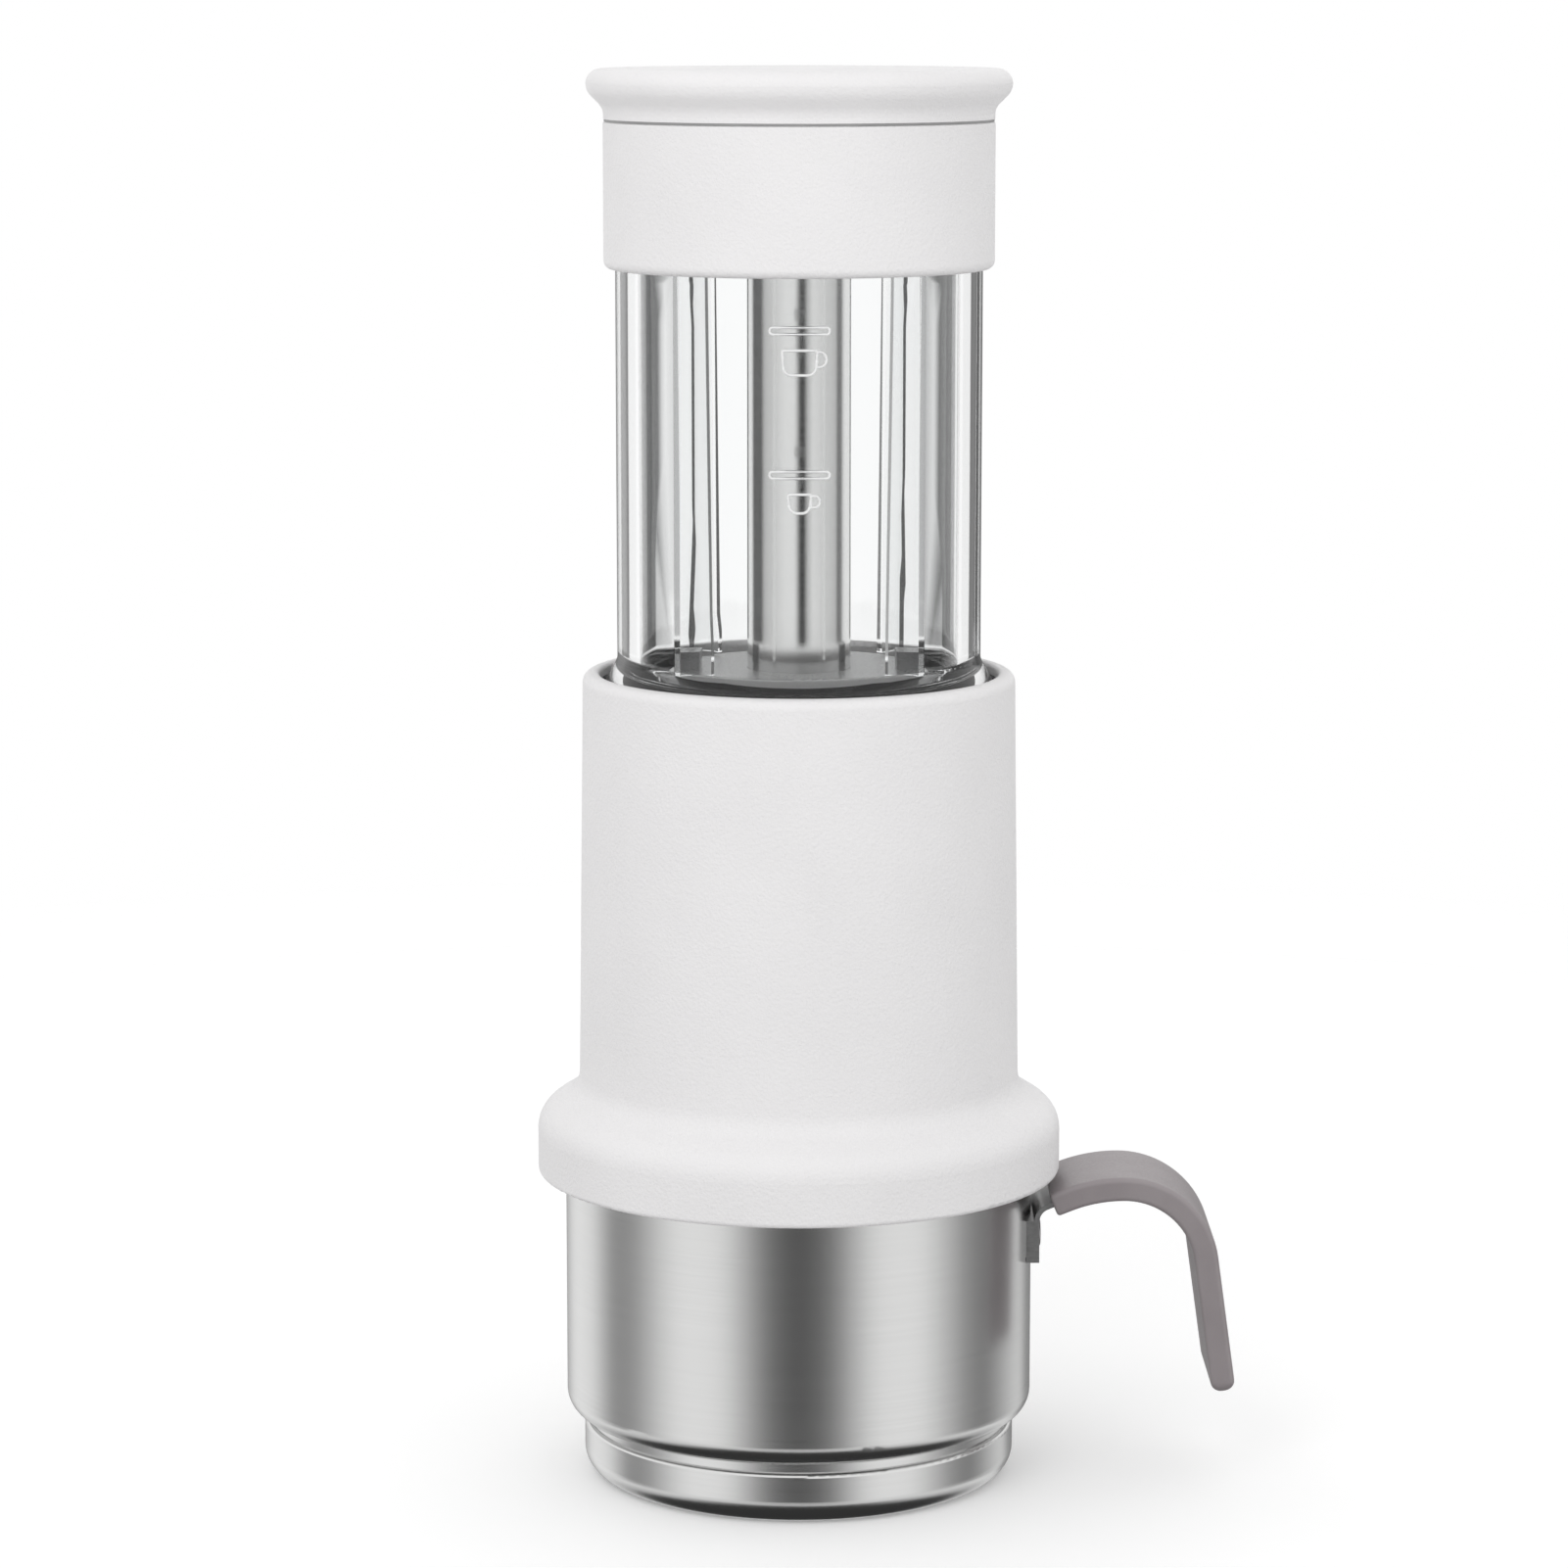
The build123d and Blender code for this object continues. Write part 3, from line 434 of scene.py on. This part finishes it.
def turned(section, steps=144):
    """Rings of a section of (radius, height) points at even angles round Z."""
    angle = np.linspace(0, 2 * pi, steps, endpoint=False)[:, None]
    radius, height = section.T
    return np.stack([radius * np.cos(angle), radius * np.sin(angle), height + 0 * angle], axis=-1)


def seal(node, body, inner, edge, rubber=black_rubber):
    """Ring in the place of a CAD node: a rectangle from its inner radius to its box, with its edges
    rounded, turned about Z."""
    (_, _, bottom), (outer, _, top) = np.array(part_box(node)) / mm
    section = rounded(
        (inner, bottom, edge),
        (inner, top, edge),
        (outer, top, edge),
        (outer, bottom, edge),
        steps=5,
        guard=0.02,
    )
    ring = skin(f"{node}_ring", turned(section), rubber, body)
    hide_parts(node)


seal("cup_seal", "machine", inner=36.1, edge=0.6)
seal("needle_gasket", "machine", inner=9.5, edge=0.2)
seal("guide_ring", "press_unit", inner=30.0, edge=0.5)
seal("floor_seal", "press_unit", inner=8.35, edge=0.3)
seal("gland_seal", "press_unit", inner=5.025, edge=0.3)
seal("collar_seal", "press_unit", inner=25.85, edge=0.4)
seal("lid_seal", "lid_ring", inner=27.85, edge=0.12, rubber=seam_rubber)
seal("cap_gasket", "cap_ring", inner=15.5, edge=0.4)

lip_deep = 1.475
lip_body_tall = 1.14
lip_root = 0.7
lip_tip = 0.45
lip_bend = 0.84
lip_lean = 0.4
lip_edge = 0.1
(_, _, lip_foot), (lip, _, lip_top) = np.array(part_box("piston_seal")) / mm
lip_section = rounded(
    (lip - lip_deep, lip_foot, lip_edge),
    (lip - lip_deep, lip_foot + lip_body_tall, lip_edge),
    (lip - lip_root, lip_foot + lip_body_tall, lip_edge),
    (lip - lip_tip, lip_top, lip_edge),
    (lip, lip_top, lip_edge),
    (lip, lip_foot + lip_bend, lip_edge),
    (lip - lip_lean, lip_foot, lip_edge),
    steps=4,
    guard=0.02,
)
piston_ring = skin("piston_seal_ring", turned(lip_section), black_rubber, "machine")
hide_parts("piston_seal")


# Body shell: one white polypropylene moulding with a fine spark-eroded grain all over, drawn up
# from the skirt over the cup to the rim of the well. Collar and lid are moulded to match.

white_plastic = moulded(
    "white_plastic_grained",
    shade=(0.8, 0.79, 0.795),
    light=(0.825, 0.815, 0.82),
    rough=(0.46, 0.6),
    cell=0.00055,
    depth=0.00007,
    Specular_IOR_Level=0.4,
    Sheen_Weight=0.4,
    Sheen_Roughness=0.3,
)
dress(white_plastic, "body_shell", "collar", "lid")


# Pump: turned steel column and barrel, grey acetal piston, bushes and clamping disc. The barrel is
# a drawn tube, satin ground round its axis, and shows through the tank with the disc at its foot.

def painted_highlight_rim(material, colour, start, end):
    """Painted highlight round a rim: the colour goes over to a brighter one between two distances from the
    Z axis.
    """
    tree = material.node_tree
    paint = tree.nodes["Principled BSDF"].inputs["Base Color"]
    place = add(tree, "ShaderNodeTexCoord").outputs["Object"]
    flat = add(tree, "ShaderNodeMapping", {"Vector": place, "Scale": (1.0, 1.0, 0.0)}).outputs["Vector"]
    radius = add(tree, "ShaderNodeVectorMath", {0: flat}, operation="LENGTH").outputs["Value"]
    share = spread(tree, radius, 0.0, 1.0, start, end)
    tree.links.new(mixed(tree, share, paint.links[0].from_socket, opaque(colour)), paint)


barrel_steel = brushed_steel("barrel_steel_satin", tint=(0.76, 0.76, 0.755), rough=(0.1, 0.17), turning=0.5)
dress(barrel_steel, "barrel", "pump_column")

acetal = {"shade": (0.1, 0.1, 0.102), "light": (0.14, 0.14, 0.143), "cell": 0.0006, "depth": 0.00001}
grey_plastic = moulded("grey_plastic_moulded", rough=(0.3, 0.45), **acetal)
dress(grey_plastic, "barrel_nut", "gland_bush", "piston", "lid_plug", "valve_retainer")
disc_plastic = moulded("grey_plastic_disc", rough=(0.22, 0.34), **acetal)
# The disc's rim is painted light grey, a painted highlight for the bright line round its edge.
painted_highlight_rim(disc_plastic, colour=(0.7, 0.7, 0.7), start=0.0206, end=0.0208)
dress(disc_plastic, "barrel_flange")


# Tank: thick clear copolyester moulding, polished inside and out. Two level bars with small cup
# outlines stand proud of its front.

def clear(name, rough, through):
    """Clear polished plastic: faint flow waves from the mould, and hair scratches in the gloss."""
    tint = (0.985, 0.99, 0.99)
    wave_cycles = (55.0, 55.0, 16.0)
    wave_depth = 0.00003
    hair_cycles = (400.0, 400.0, 3200.0)
    hair_noise = (0.5, 0.8)
    made, shader = finish_of(name, Base_Color=opaque(tint), IOR=1.5, Transmission_Weight=through)
    tree = made.node_tree
    waves = grain(tree, wave_cycles, detail=1.0)
    hairs = grain(tree, hair_cycles)
    tree.links.new(spread(tree, hairs, *rough, *hair_noise), shader.inputs["Roughness"])
    bumped(tree, shader, waves, wave_depth, strength=0.5)
    return made


clear_plastic = clear("clear_plastic_polished", rough=(0.0, 0.05), through=1.0)
dress(clear_plastic, "tank")

# The marks are frosted and let only a fifth through, so they mostly show the near-white base colour: partly
# frosting, partly a painted highlight on the raised lines.
mark_plastic = clear("clear_plastic_mark", rough=(0.24, 0.34), through=0.2)
mark_height = 0.3
mark_sunk = 0.02
tank_front_low = (29.2, 135.2)
tank_front_high = (29.25, 208.2)


def stroke(outline, wide, sides=9):
    """Rings of a raised rib along an outline of (distance round the tank, height) points: at each
    point a half ellipse, wide along the wall and mark_height tall, closed below just inside it. The
    wall's radius goes straight from the tank's foot to its top."""
    ahead = np.roll(outline, -1, axis=0) - np.roll(outline, 1, axis=0)
    ahead /= np.linalg.norm(ahead, axis=1)[:, None]
    across = np.stack([-ahead[:, 1], ahead[:, 0]], axis=1)
    swing = np.linspace(0, pi, sides)
    aside = np.cos(swing) * wide / 2
    proud = np.sin(swing) * (mark_height + mark_sunk) - mark_sunk
    distance, height = np.moveaxis(outline[:, None] + across[:, None] * aside[None, :, None], -1, 0)
    share = (height - tank_front_low[1]) / (tank_front_high[1] - tank_front_low[1])
    wall = tank_front_low[0] + share * (tank_front_high[0] - tank_front_low[0])
    angle = distance / wall - pi / 2
    radius = wall + proud[None]
    return np.stack([radius * np.cos(angle), radius * np.sin(angle), height], axis=-1)


def mark(name, outline, wide):
    """Raised line on the front of the tank."""
    skin(name, stroke(outline, wide), mark_plastic, "press_unit")


def pill(middle, long, tall):
    """Outline of a bar with ends that are all but half round."""
    x, z = middle
    left, right = x - long / 2, x + long / 2
    low, high = z - tall / 2, z + tall / 2
    end = 0.49 * tall
    return rounded((left, low, end), (right, low, end), (right, high, end), (left, high, end), guard=0.02)


def bowl(top, wide, tall, bottom):
    """Outline of a cup without its handle: nearly square at the rim, round at the bottom, with sides
    that lean in a little."""
    rim = 0.3
    lean = 0.25
    return rounded(
        (-wide / 2, top, rim),
        (-wide / 2 + lean, top - tall, bottom),
        (wide / 2 - lean, top - tall, bottom),
        (wide / 2, top, rim),
        guard=0.05,
    )


def ear(inner, outer, top, tall):
    """Outline of a cup's handle: straight against the cup, all but half round outside."""
    root = 0.15
    bend = 0.49 * tall
    return rounded(
        (inner, top, root),
        (inner, top - tall, root),
        (outer, top - tall, bend),
        (outer, top, bend),
        steps=6,
        guard=0.03,
    )


bar_long = 9.3
bar_tall = 1.05
bar_line = 0.42
cup_drop = 3.0
cup_round = 1.3
cup_line = 0.45
ear_lap = 0.05
ear_drop = 0.2
ear_share = 0.62
ear_line = 0.4
for size, bar_z, cup_wide, cup_tall, ear_reach in (
    ("large", 188.5, 5.4, 3.8, 1.5),
    ("small", 166.3, 3.6, 2.9, 1.4),
):
    cup_top = bar_z - cup_drop
    ear_inner = cup_wide / 2 - ear_lap
    ear_outline = ear(ear_inner, ear_inner + ear_reach, cup_top - ear_drop, ear_share * cup_tall)
    mark(f"level_bar_{size}", pill((0.0, bar_z), bar_long, bar_tall), bar_line)
    mark(f"level_cup_{size}", bowl(cup_top, cup_wide, cup_tall, cup_round), cup_line)
    mark(f"level_ear_{size}", ear_outline, ear_line)


# Studio: a pale round of floor that takes the shadow and fades out, one soft lamp high in front and
# to the left, and a white surround whose panels and darker gaps show in the steel and the clear tank.

def grey(level):
    """Neutral colour of one level."""
    return opaque((level, level, level))


white = grey(1.0)
floor_half = 0.7
floor_fade = (0.2, 0.55)
floor_glow = 0.16
floor_seen = grey(0.88)
floor_bounce = grey(0.6)
corners = np.array([(-1, -1, 0), (1, -1, 0), (1, 1, 0), (-1, 1, 0)]) * floor_half
floor_mesh = bpy.data.meshes.new("floor")
floor_mesh.from_pydata(corners.tolist(), [], [(0, 1, 2, 3)])
floor = bpy.data.objects.new("floor", floor_mesh)
bpy.context.scene.collection.objects.link(floor)
floor_paint, floor_shader = finish_of(
    "floor_paint", Emission_Color=white, Roughness=0.9, Specular_IOR_Level=0.0
)
floor_tree = floor_paint.node_tree
seen = add(floor_tree, "ShaderNodeLightPath").outputs["Is Camera Ray"]
glow = reckon(floor_tree, "MULTIPLY", seen, floor_glow)
floor_tree.links.new(mixed(floor_tree, seen, floor_bounce, floor_seen), floor_shader.inputs["Base Color"])
floor_tree.links.new(glow, floor_shader.inputs["Emission Strength"])
spot = add(floor_tree, "ShaderNodeTexCoord").outputs["Object"]
away = add(floor_tree, "ShaderNodeVectorMath", {0: spot}, operation="LENGTH").outputs["Value"]
faded = add(
    floor_tree,
    "ShaderNodeMixShader",
    {
        0: spread(floor_tree, away, 0.0, 1.0, *floor_fade),
        1: floor_shader.outputs["BSDF"],
        2: add(floor_tree, "ShaderNodeBsdfTransparent").outputs["BSDF"],
    },
)
floor_tree.links.new(faded.outputs["Shader"], floor_tree.nodes["Material Output"].inputs["Surface"])
floor_mesh.materials.append(floor_paint)
floor.visible_glossy = False
floor.visible_transmission = False

# The surround is worked out from the direction of a ray: up is its Z, and its turn round Z is 0 in
# front of the machine and grows towards +X.
world = bpy.data.worlds.new("studio")
world.use_nodes = True
bpy.context.scene.world = world
sky = world.node_tree
way = add(sky, "ShaderNodeSeparateXYZ", {"Vector": add(sky, "ShaderNodeTexCoord").outputs["Generated"]})
up = way.outputs["Z"]
turn = reckon(sky, "ARCTAN2", way.outputs["X"], reckon(sky, "MULTIPLY", way.outputs["Y"], -1.0))
degrees = reckon(sky, "MULTIPLY", turn, 180 / pi)
ray = add(sky, "ShaderNodeLightPath").outputs


def levels(value, low, high, stops):
    """Grey levels at places of a value between low and high, straight between them."""
    node = add(sky, "ShaderNodeValToRGB", {"Fac": spread(sky, value, 0.0, 1.0, low, high)})
    elements = node.color_ramp.elements
    while len(elements) < len(stops):
        elements.new(0.5)
    for element, (place, level) in zip(elements, stops):
        element.position = (place - low) / (high - low)
        element.color = grey(level)
    return node.outputs["Color"]


# Panels that the steel mirrors: bright ones at both sides of the front and at the back corners.
mirror_stops = (
    (-180, 0.25), (-168, 0.3), (-158, 0.6), (-145, 1.0), (-122, 0.95), (-104, 0.25), (-88, 0.32),
    (-62, 1.0), (-38, 0.97), (-16, 0.15), (0, 0.03), (16, 0.15), (38, 0.97), (62, 0.97),
    (90, 0.3), (105, 0.18), (125, 0.6), (142, 0.85), (152, 0.25), (180, 0.2),
)

# Panels and dark flags that show through the clear tank. Above and below the flags it sees white.
window_stops = (
    (-167.6, 1.0), (-166.8, 0.09), (-150, 0.09), (-149, 1.0), (-130, 1.0), (-119, 0.06),
    (-93, 0.04), (-82, 0.55), (-70, 0.72), (-48, 0.85), (-34, 0.95), (-22, 1.0),
    (-9, 1.0), (-3, 0.5), (3, 0.03), (11, 0.03), (18, 0.6), (30, 1.0),
    (55, 0.85), (75, 0.7), (88, 0.6), (95, 0.15), (106, 0.15), (114, 0.8),
    (122, 1.0), (149, 1.0), (150, 0.07), (166.8, 0.07), (167.6, 1.0),
)
flag_stops = ((-0.23, 0.0), (-0.19, 1.0), (-0.03, 1.0), (0.01, 0.0))
flag_height = levels(up, -1, 1, flag_stops)
mirror_panels = levels(degrees, -180, 180, mirror_stops)
window_panels = mixed(sky, flag_height, white, levels(degrees, -180, 180, window_stops))
panels = mixed(sky, ray["Is Transmission Ray"], mirror_panels, window_panels)

# Table as steel and tank mirror it: pale far off, then a band that is dark in front, and nearly black
# close to the machine.
table_stops = ((-75, 0.6), (-38, 0.05), (38, 0.05), (75, 0.6))
far_height = (-0.58, -0.52)
far_level = grey(0.85)
near_height = (-0.72, -0.64)
near_level = grey(0.04)
table = levels(degrees, -180, 180, table_stops)
table = mixed(sky, spread(sky, up, 0.0, 1.0, *far_height), table, far_level)
table = mixed(sky, spread(sky, up, 1.0, 0.0, *near_height), table, near_level)

ceiling_height = (0.04, 0.14)
table_height = (-0.46, -0.41)
surround = mixed(sky, spread(sky, up, 0.0, 1.0, *ceiling_height), panels, white)
surround = mixed(sky, spread(sky, up, 1.0, 0.0, *table_height), surround, table)

# Soft light on the plain surfaces: more from the front and the back than from the sides.
fill_middle = 1.0
fill_swing = 0.26
fill_back = 0.15
fill_back_turn = (112, 140)
fill_top = grey(0.92)
fill_top_height = (0.25, 0.85)
swing = reckon(sky, "COSINE", reckon(sky, "MULTIPLY", turn, 2.0))
backdrop = spread(sky, reckon(sky, "ABSOLUTE", degrees), 0.0, fill_back, *fill_back_turn)
fill = reckon(sky, "ADD", reckon(sky, "MULTIPLY_ADD", swing, fill_swing, fill_middle), backdrop)
fill = mixed(sky, spread(sky, up, 0.0, 1.0, *fill_top_height), fill, fill_top)

shiny = reckon(sky, "MAXIMUM", ray["Is Glossy Ray"], ray["Is Transmission Ray"])
lit = mixed(sky, shiny, fill, surround)
shown = mixed(sky, ray["Is Camera Ray"], lit, white)
sky.links.new(shown, sky.nodes["Background"].inputs["Color"])

key = bpy.data.objects.new("key_lamp", bpy.data.lights.new("key_lamp", "AREA"))
key.data.shape = "DISK"
key.data.size = 0.8
key.data.energy = 3.0
key.location = (-0.45, -1.1, 1.15)
key.rotation_euler = (radians(46), 0.0, radians(-22))
key.visible_glossy = False
key.visible_transmission = False
bpy.context.scene.collection.objects.link(key)


# Camera: a long lens a little above the height of the lid, looking down at the machine's front by
# about 9 degrees.

camera = bpy.data.objects.new("camera", bpy.data.cameras.new("camera"))
camera.data.sensor_width = 36.0
camera.data.lens = 115.08
camera.location = (-0.0024, -0.8, 0.24071)
camera.rotation_euler = (radians(80.963), 0.0, 0.0)
bpy.context.scene.collection.objects.link(camera)
bpy.context.scene.camera = camera
